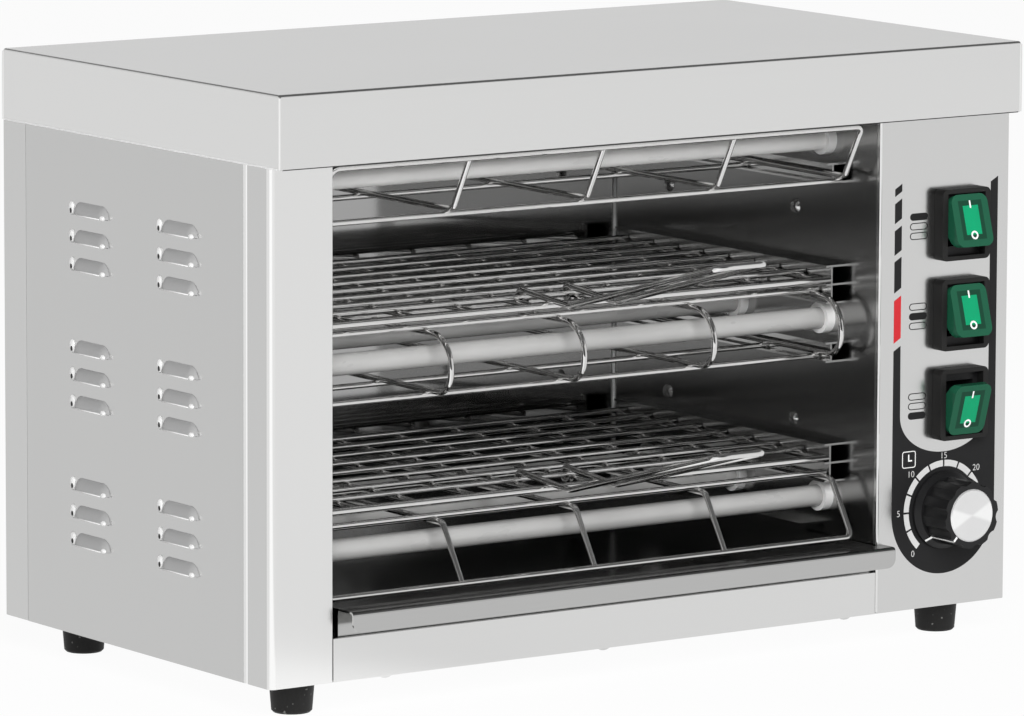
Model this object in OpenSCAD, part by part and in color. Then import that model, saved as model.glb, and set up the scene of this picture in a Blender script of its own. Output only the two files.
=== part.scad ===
// Two-tier counter-top salamander grill with quartz heating tubes.
// Millimetres, +Z up, front towards -Y, standing on its feet at Z = 0.

/* [Cover] */
// Width of the cover, left to right
cover_w = 450; // [420:1:480]
// Depth of the cover, front to back
cover_d = 253; // [243:1:275]
// Height of the cover's skirt
cover_h = 36; // [28:1:44]
// Overhang of the cover in front of the housing
cover_front = 9; // [6:0.5:14]
// Overhang of the cover past each side of the housing
cover_side = 0.5; // [0.3:0.1:0.7]
// Outer radius of the cover's folded edges
fold_r = 1.5; // [1.2:0.1:3]

/* [Housing] */
// Height from the housing's underside to the top of the cover
housing_h = 288; // [284:1:300]
// Thickness of every sheet
sheet = 1; // [0.8:0.1:1.2]
// Width of the left front post
post_w = 36; // [34:1:44]
// Set-back of the left cavity wall behind the post's inner edge
wall_set = 10; // [6:0.5:11]
// Width of the control panel
control_w = 82.5; // [78:0.5:90]
// Depth of the front pieces' returns along the sides
front_return = 23; // [18:1:30]
// Depth of the back panel's returns along the sides
back_return = 21; // [16:1:28]
// Width of the lap behind each side seam
lap_w = 12; // [8:1:16]
// Gap left open at each side seam
seam_gap = 0.4; // [0.2:0.1:0.8]

/* [Louvres] */
// Length of one louvre
louvre_l = 32; // [24:1:36]
// Height of one louvre
louvre_h = 6.2; // [5:0.1:7]
// Depth that a louvre is pressed out
louvre_out = 3; // [2:0.1:3.5]
// Pitch of the louvres within a group
louvre_pitch = 13.9; // [12:0.1:16]
// Pitch of the groups of louvres
group_pitch = 69; // [55:1:72]
// Distance between the two columns of louvres
column_pitch = 81; // [60:1:90]
// Height of the middle group's centre above the housing's underside
louvre_mid = 132; // [125:1:138]

/* [Cavity] */
// Gap between the cavity's back wall and the housing's back
back_gap = 15.5; // [12:0.5:22]
// Height of the cavity floor above the housing's underside
floor_h = 21.5; // [18:0.5:26]
// Depth of the cavity roof below the top of the cover
roof_drop = 18; // [14:0.5:22]

/* [Heating tubes] */
// Outside diameter of a quartz tube
tube_d = 11; // [9:0.5:12]
// Wall of a quartz tube
tube_wall = 1; // [0.8:0.1:1.5]
// Height of the lowest tubes above the cavity floor
tube_rise = 34; // [32:0.5:37]
// Height between one row of tubes and the next
level_pitch = 91.5; // [86:0.5:92.5]
// Distance between tubes, front to back
tube_pitch = 73.6; // [60:0.2:76]
// Diameter of a ceramic end cap
cap_d = 15.8; // [14.5:0.1:17]
// Length of a cap's head inside the cavity
cap_head = 5; // [3:0.5:7]
// Length of a cap's neck behind the wall
cap_neck = 11; // [9:0.5:12]
// Diameter of a terminal stud
stud_d = 4; // [3:0.5:5]

/* [Rails] */
// Reach of a rail's ledges from the wall
rail_depth = 10.4; // [9.8:0.1:11.2]
// Gap between the wall and a rail's web
rail_web_gap = 6.4; // [5.8:0.1:6.8]
// Clear height between two ledges
rail_gap = 8.4; // [7.8:0.1:9.5]
// Distance of the rails behind the housing's front
rail_inset = 30.3; // [30:0.1:34]
// Length of the rails
rail_l = 183; // [181:0.5:187]

/* [Wire guards] */
// Diameter of a guard's frame wire
frame_wire_d = 3.2; // [3:0.1:3.4]
// Diameter of a guard's inner wires
guard_wire_d = 3; // [2.4:0.1:3.1]
// Gap between the guards' end wires and the rails' webs
guard_side = 0.3; // [0.2:0.1:0.5]
// Reach of the top guard's front bar in front of the rails
top_out = 27; // [22:0.5:27.5]
// Rise of the top guard's front bar above its run
top_rise = 26.5; // [22:0.5:27]
// Distance of the top guard's bend in front of the rails
top_knee = 12.8; // [9:0.1:14]
// Reach of the bottom guard's front bar in front of the rails
bottom_out = 21.5; // [17:0.5:25]
// Fall of the bottom guard's front bar below its run
bottom_fall = 28; // [22:0.5:28]
// Distance of the bottom guard's bend in front of the rails
bottom_knee = 4.5; // [4:0.1:7]
// Reach of the middle guard's round front in front of the rails
middle_out = 11.6; // [11:0.1:14]
// Distance of the guards' rear bar from the rails' back end
guard_rear = 3.5; // [2:0.5:12]

/* [Grates] */
// Diameter of the front bar
bar_d = 4; // [3.6:0.1:4.4]
// Diameter of the thin wires
grate_wire_d = 3; // [2.6:0.1:3.4]
// Number of long wires
long_wires = 8; // [6:1:9]
// Number of cross wires
cross_wires = 10; // [8:2:12]
// Gap between a bar's end and the rail's web
grate_side = 0.6; // [0.4:0.1:0.8]
// Distance of the front bar behind the rails' front end
bar_inset = 1; // [0.5:0.1:4]
// Depth of the grate from its front bar to its last long wire
grate_d = 175.5; // [168:0.5:179]
// Distance from the front bar to the first long wire
handle_seat = 21; // [18:0.5:24]

/* [Grate handles] */
// Diameter of the handle wire
handle_d = 3.2; // [2.8:0.1:3.6]
// Length of a leg from its eye to its bend
leg_in = 41.5; // [34:0.5:46]
// Length of a leg from its bend to the grip
leg_out = 127.4; // [100:0.1:140]
// Rise of the outer leg in degrees
leg_rise = 15; // [8:1:18]
// Bend radius of the grip's corners
grip_r = 6; // [4:0.5:8]
// Turn of an eye in degrees
eye_turn = 250; // [220:5:265]

/* [Crumb tray] */
// Height of the tray's box
tray_h = 13.6; // [11:0.1:15]
// Gap between the tray's box and the post's inner edge
tray_side = 5; // [3:0.5:7]
// Gap between the tray's box and the right cavity wall
tray_gap = 1.5; // [1:0.1:3]
// Reach of the tray's shelf in front of the housing
shelf_out = 10.3; // [9.5:0.1:16]
// Height of the tray's front flange
flange_h = 10.3; // [8:0.1:12]
// Overlap of the flange past the opening's right edge
flange_side = 4.5; // [2:0.1:6]
// Radius of the flange's lower corners
flange_r = 5; // [3:0.5:6]
// Outer radius of the fold between the tray's shelf and its flange
tray_fold_r = 2.2; // [1.5:0.1:2.2]

/* [Switches] */
// Height of the middle switch above the housing's underside
switch_mid = 150.6; // [140:0.2:156]
// Pitch of the switches
switch_pitch = 46; // [42:0.5:50]
// Distance of the switches from the control panel's right edge
switch_side = 32.3; // [28:0.1:36]
// Width of a switch's rubber boot
boot_w = 30.6; // [29.6:0.1:34]
// Height of a switch's rubber boot
boot_h = 36.5; // [35:0.1:40]
// Depth of a switch's rubber boot
boot_out = 7; // [5.5:0.5:8]
// Width of a rocker
rocker_w = 23; // [21:0.2:24]
// Length of a rocker
rocker_h = 27; // [25:0.2:27.4]
// Tilt of a rocker at rest in degrees
rocker_tilt = 16; // [12:0.5:17]

/* [Timer] */
// Height of the timer's shaft above the housing's underside
timer_z = 50; // [46:0.5:56]
// Distance of the timer's shaft from the control panel's right edge
timer_side = 39.9; // [37:0.1:45]
// Diameter of the knob's skirt
knob_skirt_d = 40; // [36:0.5:44]
// Diameter of the knob's fluted body
knob_d = 34; // [31:0.5:35.5]
// Height of the knob
knob_h = 23; // [18:0.5:28]
// Diameter of the knob's metal cap
knob_cap_d = 27; // [24:0.5:28]
// Diameter of the timer's shaft
shaft_d = 6; // [5:0.5:7]

/* [Feet] */
// Height of a foot
foot_h = 16.5; // [12:0.5:22]
// Diameter of a foot at the top
foot_top_d = 22.5; // [20:0.5:26]
// Diameter of a foot at the floor
foot_low_d = 20; // [18:0.5:20]
// Distance of the feet's middles from the housing's sides
foot_side = 26.8; // [22:0.1:36]
// Distance of the feet's middles from the cover's front and back
foot_set = 31.1; // [28:0.1:40]

/* [Cord gland] */
// Bore of the cord gland
gland_bore = 8; // [6:0.5:9.5]
// Diameter of the gland's nut
gland_d = 22; // [18:0.5:26]
// Length of the gland outside the back panel
gland_out = 14; // [10:0.5:20]

/* [Hidden] */
$fn = 48;

// Clearances
weld = 0.4;
bend_swell = 0.04;
tuck = 0.4;
slide_gap = 0.2;
eye_gap = 0.25;
rest_gap = 0.2;
fit_gap = 0.1;
cap_gap = 0.9;
edge_gap = 0.5;

// Housing planes
body_w = cover_w - 2 * cover_side;
right_x = body_w / 2;
front_y = -cover_d / 2 + cover_front;
back_y = cover_d / 2;
under_z = foot_h;
top_z = under_z + housing_h;
skirt_z = top_z - cover_h;
lip_z = top_z - roof_drop + sheet;

// Opening between the post and the control panel, and cavity planes
open_left = -right_x + post_w;
cav_left = open_left - wall_set;
cav_right = right_x - control_w;
open_mid = (open_left + cav_right) / 2;
cav_mid = (cav_left + cav_right) / 2;
cav_half = (cav_right - cav_left) / 2;

// Left rails stand further off their wall, so that the grates pass the post
post_gap = 0.5;
left_extra = max(0, wall_set + post_gap - grate_side - rail_web_gap - sheet);
rack_mid = cav_mid + left_extra / 2;
rack_half = cav_half - left_extra / 2;
cav_back = back_y - back_gap;
wall_drop = 10;
floor_z = under_z + floor_h;
roof_z = top_z - roof_drop;

// Tubes
tube_z = [for (level = [0 : 2]) floor_z + tube_rise + level * level_pitch];
tube_y = [for (row = [-1 : 1]) row * tube_pitch];
cap_wall = 1;
neck_d = tube_d + 2 * (fit_gap + cap_wall);
cap_plug = 4;
coil_d = tube_d - 2 * tube_wall - 1.4;
stud_out = 7;
strip_t = 1;
strip_w = 9;

// Rails and what they carry
rail_pitch = rail_gap + sheet;
rail_y = front_y + rail_inset;
grate_ledge = [for (level = [0 : 1]) tube_z[level] + cap_d / 2 + cap_gap + 2 * sheet + rail_gap];
guard_cap_gap = 2.9;
guard_ledge = [for (level = [0 : 2]) tube_z[level] - cap_d / 2 - guard_cap_gap - rail_pitch];
tray_rail_low = floor_z + tray_h + 1.4;
tray_rail_h = 4;
tray_rail_set = 20;

// Guards
frame_r = frame_wire_d / 2;
guard_r = guard_wire_d / 2;
guard_bend = 4;
guard_half = rack_half - rail_web_gap - sheet - guard_side - frame_r;
guard_count = 3;
guard_step = 2 * guard_half / (guard_count + 1);
guard_back_y = rail_y + rail_l - guard_rear;
long_lift = frame_r + guard_r - weld;
guard_end = 0.8;
guard_bar_swell = 0.1;
long_pitch = 80;
top_first = 8.5;
bottom_first = 2;
middle_first = 10;
middle_next = 44;
bend_lift = 1.2;
top_run_z = guard_ledge[2] + fit_gap + guard_r + long_lift;
middle_low_z = guard_ledge[1] + fit_gap + guard_r + long_lift;
middle_high_z = grate_ledge[1] - rail_pitch + frame_r + fit_gap + bend_lift;
bottom_run_z = grate_ledge[0] - rail_pitch + frame_r + fit_gap;

// Grates
bar_r = bar_d / 2;
grate_r = grate_wire_d / 2;
grate_half = rack_half - rail_web_gap - sheet - grate_side;
bar_y = rail_y + bar_inset;
bar_z = [for (level = [0 : 1]) grate_ledge[level] + bar_r + slide_gap];
cross_lift = grate_r - bar_r;
long_z = [for (level = [0 : 1]) bar_z[level] + cross_lift + 2 * grate_r - weld];
first_long_y = bar_y + handle_seat;
long_step = (grate_d - handle_seat) / (long_wires - 1);
cross_inset = grate_r + 0.1;
cross_end = 3;
cross_step = 2 * (grate_half - cross_inset) / (cross_wires - 1);

// Handles, in the plane of one leg, measured from the long wire that the eye turns on
handle_r = handle_d / 2;
eye_r = handle_r + grate_r + eye_gap;
rest_r = handle_r + bar_r + rest_gap;
seat_drop = long_z[0] - bar_z[0];
leg_fall = atan(seat_drop / handle_seat) - asin((rest_r - eye_r) / norm([handle_seat, seat_drop]));
leg_start = [-eye_r * sin(leg_fall), eye_r * cos(leg_fall)];
leg_bend = leg_start + leg_in * [-cos(leg_fall), -sin(leg_fall)];
leg_end = leg_bend + leg_out * [-cos(leg_rise), sin(leg_rise)];
leg_bend_r = 8;
handle_half = (cross_step - grate_wire_d - handle_d) / 2 - edge_gap;

// Crumb tray
tray_front = front_y + 3;
tray_back = cav_back - 12;
tray_left = open_left + tray_side;
tray_right = cav_right - tray_gap;
flange_right = cav_right + flange_side;
flange_y = front_y - shelf_out;

// Switches and timer
switch_x = right_x - switch_side;
switch_z = [for (row = [1 : -1 : -1]) under_z + switch_mid + row * switch_pitch];
switch_w = 22;
switch_h = 29;
switch_in = 24;
bezel = 1.5;
bezel_t = 2;
pivot_y = front_y - 3;
pressed = [-1, -1, 1];
rocker_top = 9;
rocker_back = 4.5;
rocker_stem = 7;
stem_w = 17;
stem_t = 3;
pivot_r = 3;
corner_r = 3;
rocker_r = 4.5;
swing_half = rocker_h / 2 * cos(rocker_tilt) + rocker_top * sin(rocker_tilt) + edge_gap;
timer_x = right_x - timer_side;
timer_h = under_z + timer_z;
timer_size = 44;
timer_deep = 28;
bush_d = 10;
bush_out = 5;
nut_t = 2.5;
nut_d = 14;
flutes = 10;
flute_d = 9;
flute_set = 3.2;
flute_turn = 12;
skirt_h = 4;
knob_gap = 0.6;
knob_back = front_y - knob_gap;
knob_front = knob_back - knob_h;
cap_t = 1.6;

// Feet, screws and gland
screw_d = 4;
screw_head_d = 8;
screw_dome = 2.4;
shank_l = 7;
foot_bore = 5;
foot_recess_d = 11;
foot_recess = 6;
wall_screw_y = [-47, 62];
wall_screw_z = [tube_z[0] + 36, tube_z[1] + 54];
cover_screw_x = [-cover_w / 3, 0, cover_w / 3];
rail_screw_in = [35, 15];
rail_screw_x = [open_left + rail_screw_in[0], open_mid, cav_right - rail_screw_in[1]];
foot_x = right_x - foot_side;
foot_y = cover_d / 2 - foot_set;
rail_flange = 14;
gland_x = right_x - 42;
gland_z = under_z + 34;
gland_thread_d = 14;
gland_flange = 3;
gland_in = 12;
gland_nut_t = 4;

// Middle of the whole part, front to back, put at Y = 0
tip_y = first_long_y + leg_end[0] - handle_r;
tail_y = back_y + gland_out;
shift_y = -(tip_y + tail_y) / 2;

function unit(v) = v / norm(v);
function turn_at(a, b, c) = acos(unit(b - a) * unit(c - b));
function trim_at(a, b, c, bend) = bend * tan(turn_at(a, b, c) / 2);

// Box given by its lowest and highest corners
module slab(low, high) {
    translate(low) cube(high - low);
}

// Round wire from one point to another
module rod(a, b, r) {
    w = unit(b - a);
    u = unit(cross(abs(w[2]) < 0.9 ? [0, 0, 1] : [1, 0, 0], w));
    v = cross(w, u);
    multmatrix([
        [u[0], v[0], w[0], a[0]],
        [u[1], v[1], w[1], a[1]],
        [u[2], v[2], w[2], a[2]],
        [0, 0, 0, 1]
    ])
        cylinder(r = r, h = norm(b - a));
}

// Round bend of a wire at corner b, on the way from a to c, a hair thicker than the wire
module elbow(a, b, c, bend, r) {
    way = unit(b - a);
    onward = unit(c - b);
    n = unit(cross(way, onward));
    mid = b + unit(onward - way) * bend / cos(turn_at(a, b, c) / 2);
    x = unit(b - way * trim_at(a, b, c, bend) - mid);
    multmatrix([
        [x[0], way[0], n[0], mid[0]],
        [x[1], way[1], n[1], mid[1]],
        [x[2], way[2], n[2], mid[2]],
        [0, 0, 0, 1]
    ])
        rotate_extrude(angle = turn_at(a, b, c)) translate([bend, 0]) circle(r = r + bend_swell);
}

// Wire along a line of points, with a round bend at each inner point
module bent_wire(points, bend, r) {
    last = len(points) - 1;
    for (i = [0 : last - 1]) {
        a = points[i];
        b = points[i + 1];
        from = i == 0 ? 0 : trim_at(points[i - 1], a, b, bend) - tuck;
        to = i + 1 == last ? 0 : trim_at(a, b, points[i + 2], bend) - tuck;
        rod(a + unit(b - a) * from, b - unit(b - a) * to, r);
    }
    for (i = [1 : last - 1])
        elbow(points[i - 1], points[i], points[i + 1], bend, r);
}

// Closed wire round a ring of points, with a round bend at each
module wire_loop(points, bend, r) {
    count = len(points);
    for (i = [0 : count - 1]) {
        before = points[(i + count - 1) % count];
        a = points[i];
        b = points[(i + 1) % count];
        after = points[(i + 2) % count];
        from = trim_at(before, a, b, bend) - tuck;
        to = trim_at(a, b, after, bend) - tuck;
        rod(a + unit(b - a) * from, b - unit(b - a) * to, r);
        elbow(before, a, b, bend, r);
    }
}

// Mirrored copy of a right-hand piece on the left of the cavity
module both_walls() {
    translate([cav_mid, 0, 0]) {
        children();
        mirror([1, 0, 0]) children();
    }
}

// Dome-headed screw with its head on Z = 0 and its shank below
module dome_screw(shank) {
    dome_r = (pow(screw_head_d / 2, 2) + pow(screw_dome, 2)) / (2 * screw_dome);
    intersection() {
        translate([0, 0, screw_dome - dome_r]) sphere(r = dome_r);
        cylinder(d = screw_head_d, h = screw_dome);
    }
    translate([0, 0, -shank]) cylinder(d = screw_d, h = shank + 0.5);
}

// Cover: a folded box, open below, with a return along its front edge
module cover_block(low, high, r) {
    hull()
        for (x = [low[0] + r, high[0] - r], y = [low[1] + r, high[1] - r]) {
            translate([x, y, low[2]]) cylinder(r = r, h = 1, $fn = 24);
            translate([x, y, high[2] - r]) sphere(r = r, $fn = 24);
        }
}

module top_cover() {
    outer = [cover_w / 2, cover_d / 2];
    color("gainsboro") difference() {
        union() {
            difference() {
                cover_block([-outer[0], -outer[1], skirt_z], [outer[0], outer[1], top_z], fold_r);
                slab(
                    [-outer[0] + sheet, -outer[1] + sheet, skirt_z - 1],
                    [outer[0] - sheet, outer[1] - sheet, top_z - sheet]
                );
            }
            slab(
                [-outer[0] + sheet / 2, -outer[1] + sheet / 2, skirt_z],
                [outer[0] - sheet / 2, front_y - edge_gap, skirt_z + sheet]
            );
        }
        for (x = cover_screw_x)
            translate([x, back_y + 1, skirt_z + cover_h / 2])
                rotate([90, 0, 0]) cylinder(d = screw_d + 2 * fit_gap, h = 4);
    }
}

// One pressed louvre on the outer face of a panel that lies at X = 0 and faces +X, open below
louvre_r = (pow(louvre_h, 2) + pow(louvre_out, 2)) / (2 * louvre_out);
louvre_sink = louvre_r - louvre_out;

module louvre_body(r, low) {
    straight = louvre_l / 2 - louvre_h;
    translate([-louvre_sink, 0, 0]) intersection() {
        union() {
            translate([0, straight, 0]) rotate([90, 0, 0]) cylinder(r = r, h = 2 * straight);
            for (side = [-1, 1])
                translate([0, side * straight, 0]) sphere(r = r + bend_swell);
        }
        slab([louvre_sink - 3 * sheet, -louvre_l, low], [2 * r, louvre_l, r + 1]);
    }
}

module louvre_places() {
    panel_mid = (front_y + front_return + back_y - back_return) / 2 - 3;
    for (column = [-0.5, 0.5], group = [-1 : 1], row = [-1 : 1])
        translate([
            0,
            panel_mid + column * column_pitch,
            under_z + louvre_mid + group * group_pitch + row * louvre_pitch - louvre_h / 2
        ])
            children();
}

// Right-hand side panel, with laps behind its seams and a lip inside the cover
module side_panel() {
    y0 = front_y + front_return + seam_gap;
    y1 = back_y - back_return - seam_gap;
    difference() {
        union() {
            slab([right_x - sheet, y0, under_z], [right_x, y1, skirt_z]);
            slab([right_x - 2 * sheet, y0 - lap_w, under_z + sheet], [right_x - sheet, y0 + lap_w, lip_z]);
            slab([right_x - 2 * sheet, y1 - lap_w, under_z + sheet], [right_x - sheet, y1 + lap_w, lip_z]);
            slab([right_x - 2 * sheet, y0, skirt_z - lap_w], [right_x - sheet, y1, lip_z]);
            translate([right_x, 0, 0]) louvre_places() louvre_body(louvre_r, 0);
        }
        translate([right_x, 0, 0]) louvre_places() louvre_body(louvre_r - 0.8 * sheet, -weld);
    }
}

module left_side_panel() {
    color("gainsboro") mirror([1, 0, 0]) side_panel();
}

module right_side_panel() {
    color("gainsboro") side_panel();
}

// Front left post: a front face and a return along the side
module front_post() {
    color("gainsboro") union() {
        slab([-right_x, front_y, under_z], [open_left, front_y + sheet, skirt_z]);
        slab([-right_x + sheet, front_y, skirt_z - 1], [open_left, front_y + sheet, skirt_z + cover_h / 2]);
        slab([-right_x, front_y, under_z], [-right_x + sheet, front_y + front_return, skirt_z]);
    }
}

// Control panel: a front face with cut-outs for the switches and the timer, and a return along the side
module control_panel() {
    color("gainsboro") difference() {
        union() {
            slab([cav_right, front_y, under_z], [right_x, front_y + sheet, skirt_z]);
            slab(
                [cav_right, front_y, skirt_z - 1],
                [right_x - sheet, front_y + sheet, skirt_z + cover_h / 2]
            );
            slab([right_x - sheet, front_y, under_z], [right_x, front_y + front_return, skirt_z]);
            slab(
                [cav_right, front_y, under_z + sheet],
                [cav_right + sheet, front_y + 3, skirt_z + cover_h / 2]
            );
        }
        for (z = switch_z)
            slab(
                [switch_x - switch_w / 2 - fit_gap, front_y - 1, z - switch_h / 2 - fit_gap],
                [switch_x + switch_w / 2 + fit_gap, front_y + sheet + 1, z + switch_h / 2 + fit_gap]
            );
        translate([timer_x, front_y - 1, timer_h])
            rotate([-90, 0, 0]) cylinder(d = bush_d + 2 * fit_gap, h = sheet + 2);
    }
}

// Back panel with its side returns, its lip inside the cover and the gland's hole
module back_panel() {
    color("gainsboro") difference() {
        union() {
            slab([-right_x, back_y - sheet, under_z], [right_x, back_y, skirt_z]);
            slab(
                [-right_x + 2 * sheet, back_y - 2 * sheet, skirt_z - lap_w],
                [right_x - 2 * sheet, back_y - sheet, lip_z]
            );
            for (side = [0, 1])
                mirror([side, 0, 0])
                    slab([right_x - sheet, back_y - back_return, under_z], [right_x, back_y, skirt_z]);
        }
        translate([gland_x, back_y + 1, gland_z])
            rotate([90, 0, 0]) cylinder(d = gland_thread_d + 2 * fit_gap, h = sheet + 2);
        for (x = cover_screw_x)
            translate([x, back_y + 1, skirt_z + cover_h / 2])
                rotate([90, 0, 0]) cylinder(d = screw_d + 2 * fit_gap, h = 3 * sheet + 2);
    }
}

// Bottom plate that carries the feet
module bottom_plate() {
    color("silver") difference() {
        slab(
            [-right_x + sheet, front_y + sheet, under_z],
            [right_x - sheet, back_y - sheet, under_z + sheet]
        );
        for (x = [-foot_x, foot_x], y = [-foot_y, foot_y])
            translate([x, y, under_z - 1]) cylinder(d = foot_bore + 2 * fit_gap, h = sheet + 2);
        for (x = rail_screw_x)
            translate([x, front_y + rail_flange / 2, under_z - 1])
                cylinder(d = screw_d + 2 * fit_gap, h = sheet + 2);
    }
}

// Cavity floor with the base rail folded down along the front
module cavity_floor() {
    color("silver") difference() {
        union() {
            slab([open_left + seam_gap, front_y, floor_z - sheet], [cav_right - seam_gap, cav_back, floor_z]);
            slab([cav_left, front_y + 3, floor_z - sheet], [cav_right, cav_back, floor_z]);
            slab([open_left + seam_gap, front_y, under_z], [cav_right - seam_gap, front_y + sheet, floor_z]);
            slab(
                [open_left + seam_gap, front_y, under_z + sheet],
                [cav_right - seam_gap, front_y + rail_flange, under_z + 2 * sheet]
            );
        }
        for (x = rail_screw_x)
            translate([x, front_y + rail_flange / 2, under_z])
                cylinder(d = screw_d + 2 * fit_gap, h = 3 * sheet);
    }
}

// Right-hand cavity wall, with holes for the caps and the wall screws
module side_wall() {
    difference() {
        slab([cav_half, front_y + 3, floor_z - wall_drop], [cav_half + sheet, cav_back, roof_z - sheet]);
        for (y = tube_y, z = tube_z)
            translate([cav_half - 1, y, z])
                rotate([0, 90, 0]) cylinder(d = neck_d + 2 * fit_gap, h = sheet + 2);
        for (y = wall_screw_y, z = wall_screw_z)
            translate([cav_half - 1, y, z])
                rotate([0, 90, 0]) cylinder(d = screw_d + 2 * fit_gap, h = sheet + 2);
    }
}

module cavity_right_wall() {
    color("dimgray") translate([cav_mid, 0, 0]) side_wall();
}

module cavity_left_wall() {
    color("dimgray") translate([cav_mid, 0, 0]) mirror([1, 0, 0]) side_wall();
}

module cavity_back_wall() {
    color("dimgray") slab(
        [cav_left - sheet, cav_back, under_z + sheet],
        [cav_right + sheet, cav_back + sheet, roof_z - sheet]
    );
}

// Cavity roof with a header folded down behind the cover's skirt
module cavity_roof() {
    color("dimgray") union() {
        slab([cav_left - sheet, front_y + 3, roof_z - sheet], [cav_right + sheet, cav_back + sheet, roof_z]);
        slab([open_left, front_y, roof_z - sheet], [cav_right, front_y + 4, roof_z]);
        slab([open_left, front_y, skirt_z], [cav_right, front_y + sheet, roof_z]);
    }
}

// Right-hand rail: ledges from the wall, joined by a web that stands off it
module rail(ledges, low, high, y, l, extra) {
    reach = rail_depth + extra;
    translate([cav_half, y + l, 0]) rotate([90, 0, 0]) linear_extrude(l) union() {
        for (z = ledges)
            translate([-reach, z - sheet]) square([reach, sheet]);
        translate([-rail_web_gap - extra - sheet, low]) square([sheet, high - low]);
    }
}

// Rail on each wall, the left one deeper by a given amount
module rail_pair(ledges, low, high, y, l, extra) {
    translate([cav_mid, 0, 0]) {
        rail(ledges, low, high, y, l, 0);
        mirror([1, 0, 0]) rail(ledges, low, high, y, l, extra);
    }
}

module guard_rails(level) {
    z = guard_ledge[level];
    color("silver") rail_pair([z, z + rail_pitch], z - sheet, z + rail_pitch, rail_y, rail_l, left_extra);
}

module grate_rails(level) {
    z = grate_ledge[level];
    ledges = [z - rail_pitch, z, z + rail_pitch];
    color("silver") rail_pair(ledges, ledges[0] - sheet, ledges[2], rail_y, rail_l, left_extra);
}

module top_guard_rails() {
    guard_rails(2);
}

module middle_guard_rails() {
    guard_rails(1);
}

module upper_grate_rails() {
    grate_rails(1);
}

module lower_grate_rails() {
    grate_rails(0);
}

// Angles above the crumb tray that keep it from tipping
module tray_rails() {
    high = tray_rail_low + tray_rail_h;
    color("silver")
        rail_pair([high], tray_rail_low, high, rail_y + tray_rail_set, rail_l - tray_rail_set, wall_set);
}

// Long guard wires along X, laid across the run of the cross wires
module guard_long(places, z) {
    reach = guard_half + guard_end;
    for (y = places)
        rod([rack_mid - reach, y, z], [rack_mid + reach, y, z], guard_r);
}

// Guard with a slanted front: the front bar and the rear bar close one bent frame
module slanted_guard(front, knee, first, lift) {
    left = rack_mid - guard_half;
    right = rack_mid + guard_half;
    color("silver") union() {
        wire_loop([
            [left, front[0], front[1]], [right, front[0], front[1]], [right, knee[0], knee[1]],
            [right, guard_back_y, knee[1]], [left, guard_back_y, knee[1]], [left, knee[0], knee[1]]
        ], guard_bend, frame_r);
        for (i = [1 : guard_count]) {
            x = left + i * guard_step;
            bent_wire(
                [[x, front[0], front[1]], [x, knee[0], knee[1]], [x, guard_back_y, knee[1]]],
                guard_bend, guard_r
            );
        }
        guard_long([first, first + long_pitch, first + 2 * long_pitch], knee[1] + lift);
    }
}

// Guard under the top tubes, with its long wires below
module top_guard() {
    slanted_guard(
        [rail_y - top_out, top_run_z + top_rise], [rail_y - top_knee, top_run_z],
        rail_y - top_first, -long_lift
    );
}

// Guard over the bottom tubes, with its long wires above
module bottom_guard() {
    slanted_guard(
        [rail_y - bottom_out, bottom_run_z - bottom_fall], [rail_y - bottom_knee, bottom_run_z],
        rail_y + bottom_first, long_lift
    );
}

// Guard round the middle tubes: cross wires bent to a C, rear bars and long wires on the outside
module middle_guard() {
    front = rail_y - middle_out;
    nose_bend = 0.57 * (middle_high_z - middle_low_z);
    chin_bend = 0.38 * (middle_high_z - middle_low_z);
    first = rail_y + middle_first;
    places = [first, first + middle_next, first + middle_next + long_pitch];
    color("silver") union() {
        for (i = [0 : guard_count + 1]) {
            x = rack_mid - guard_half + i * guard_step;
            r = i == 0 || i == guard_count + 1 ? frame_r : guard_r;
            high = [x, guard_back_y, middle_high_z];
            nose = [x, front, middle_high_z];
            chin = [x, front, middle_low_z];
            low = [x, guard_back_y, middle_low_z];
            rod(high, nose + [0, nose_bend - tuck, 0], r);
            elbow(high, nose, chin, nose_bend, r);
            bent_wire([nose - [0, 0, nose_bend - tuck], chin, low], chin_bend, r);
        }
        for (z = [middle_high_z, middle_low_z])
            rod(
                [rack_mid - guard_half - guard_end, guard_back_y, z],
                [rack_mid + guard_half + guard_end, guard_back_y, z], frame_r + guard_bar_swell
            );
        guard_long(places, middle_high_z + long_lift);
        guard_long(places, middle_low_z - long_lift);
    }
}

// Quartz tubes of one level
module tubes(level) {
    color("whitesmoke")
        for (y = tube_y)
            translate([cav_mid - cav_half - cap_neck + cap_plug, y, tube_z[level]])
                rotate([0, 90, 0]) difference() {
                    l = 2 * (cav_half + cap_neck - cap_plug);
                    cylinder(d = tube_d, h = l);
                    translate([0, 0, -1]) cylinder(d = tube_d - 2 * tube_wall, h = l + 2);
                }
}

// Ceramic caps of one level: a head against the wall, and a neck through it that closes round the stud
module caps(level) {
    color("white") both_walls()
        for (y = tube_y)
            translate([cav_half - cap_head, y, tube_z[level]])
                rotate([0, 90, 0]) difference() {
                    union() {
                        cylinder(d = cap_d, h = cap_head);
                        cylinder(d = neck_d, h = cap_head + cap_neck);
                    }
                    translate([0, 0, -1])
                        cylinder(d = tube_d + 2 * fit_gap, h = cap_head + cap_neck - cap_plug + 1);
                    cylinder(d = stud_d + 2 * fit_gap, h = cap_head + cap_neck + 1);
                }
}

module top_tubes() {
    tubes(2);
}

module middle_tubes() {
    tubes(1);
}

module bottom_tubes() {
    tubes(0);
}

module top_caps() {
    caps(2);
}

module middle_caps() {
    caps(1);
}

module bottom_caps() {
    caps(0);
}

// Resistance windings inside the tubes, from stud to stud
module heating_coils() {
    half = cav_half + cap_neck - cap_plug;
    color("darkgray")
        for (y = tube_y, z = tube_z)
            translate([cav_mid - half, y, z]) rotate([0, 90, 0]) cylinder(d = coil_d, h = 2 * half);
}

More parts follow.
